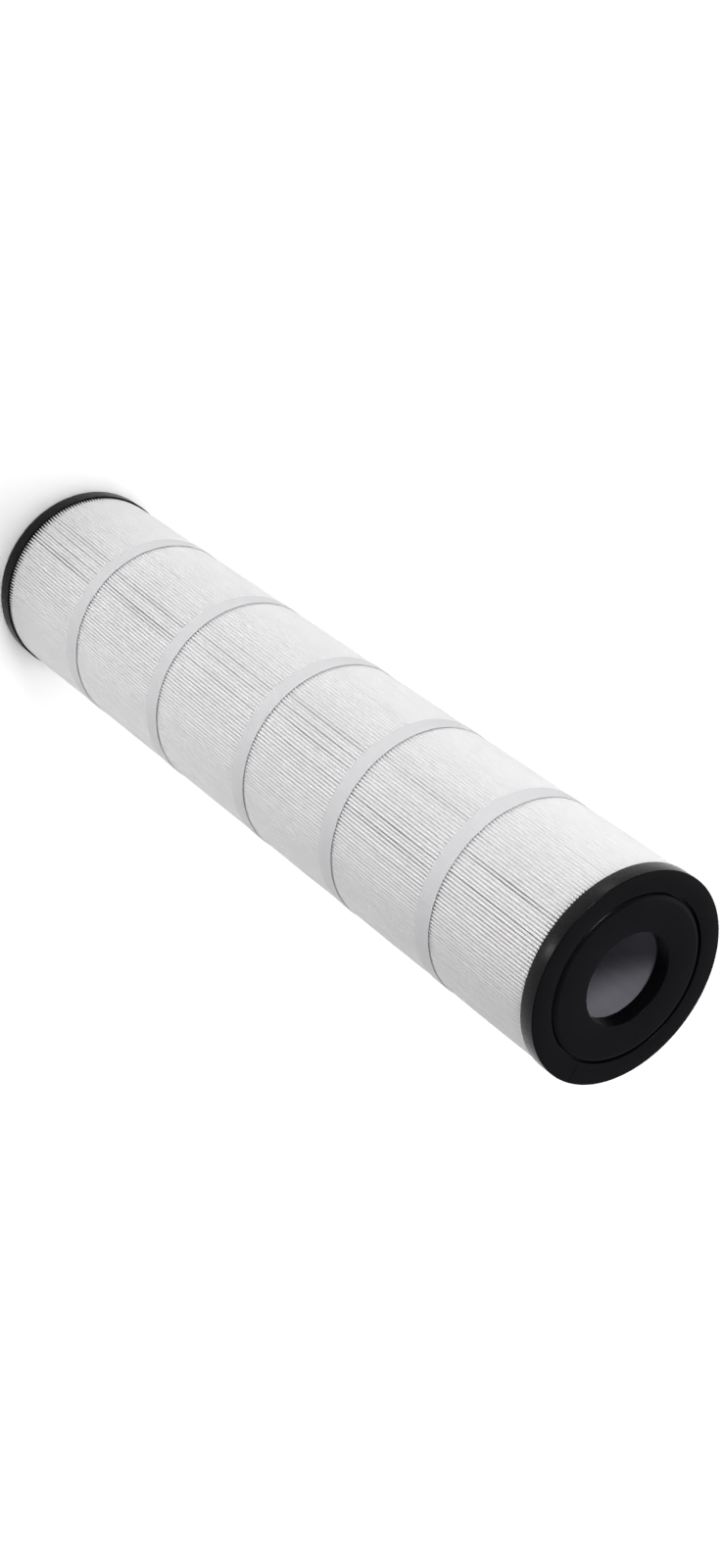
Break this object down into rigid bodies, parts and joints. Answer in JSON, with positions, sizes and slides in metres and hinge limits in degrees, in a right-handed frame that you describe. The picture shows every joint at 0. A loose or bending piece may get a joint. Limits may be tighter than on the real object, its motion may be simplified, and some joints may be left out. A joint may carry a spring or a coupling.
{
  "type": "pleated filter cartridge",
  "caption": "Tall pleated pool and spa filter cartridge with black end caps, a through bore, a perforated core and cloth retaining bands.",
  "frame": {"origin": "centre of the bottom seal disc's flat outer face, on the cartridge's axis, where it stands", "axes": "+Z along the cartridge's axis from the bottom cap to the top cap; +Y towards the seam of the cloth, at the back"},
  "size_m": [0.1778, 0.1778, 0.8128],
  "materials": {
    "black_cap": "satin moulded black plastic",
    "potting_resin": "poured black resin",
    "grey_core": "extruded grey plastic",
    "filter_cloth": "white spunbond polyester cloth",
    "band_cloth": "smooth white pressed cloth strip",
    "clear_glue": "set hot glue"
  },
  "bodies": {
    "root": {"bottom_rim_ring": "black_cap", "top_rim_ring": "black_cap", "bottom_seal_disc": "black_cap", "top_seal_disc": "black_cap", "bottom_potting_ring": "potting_resin", "top_potting_ring": "potting_resin", "core_section_1": "grey_core", "core_section_2": "grey_core", "core_section_3": "grey_core", "core_section_4": "grey_core", "pleated_media": "filter_cloth", "media_seam_strip": "clear_glue", "retaining_band_1": "band_cloth", "retaining_band_2": "band_cloth", "retaining_band_3": "band_cloth", "retaining_band_4": "band_cloth", "retaining_band_5": "band_cloth", "band_glue_1": "clear_glue", "band_glue_2": "clear_glue", "band_glue_3": "clear_glue", "band_glue_4": "clear_glue", "band_glue_5": "clear_glue"}
  },
  "joints": []
}
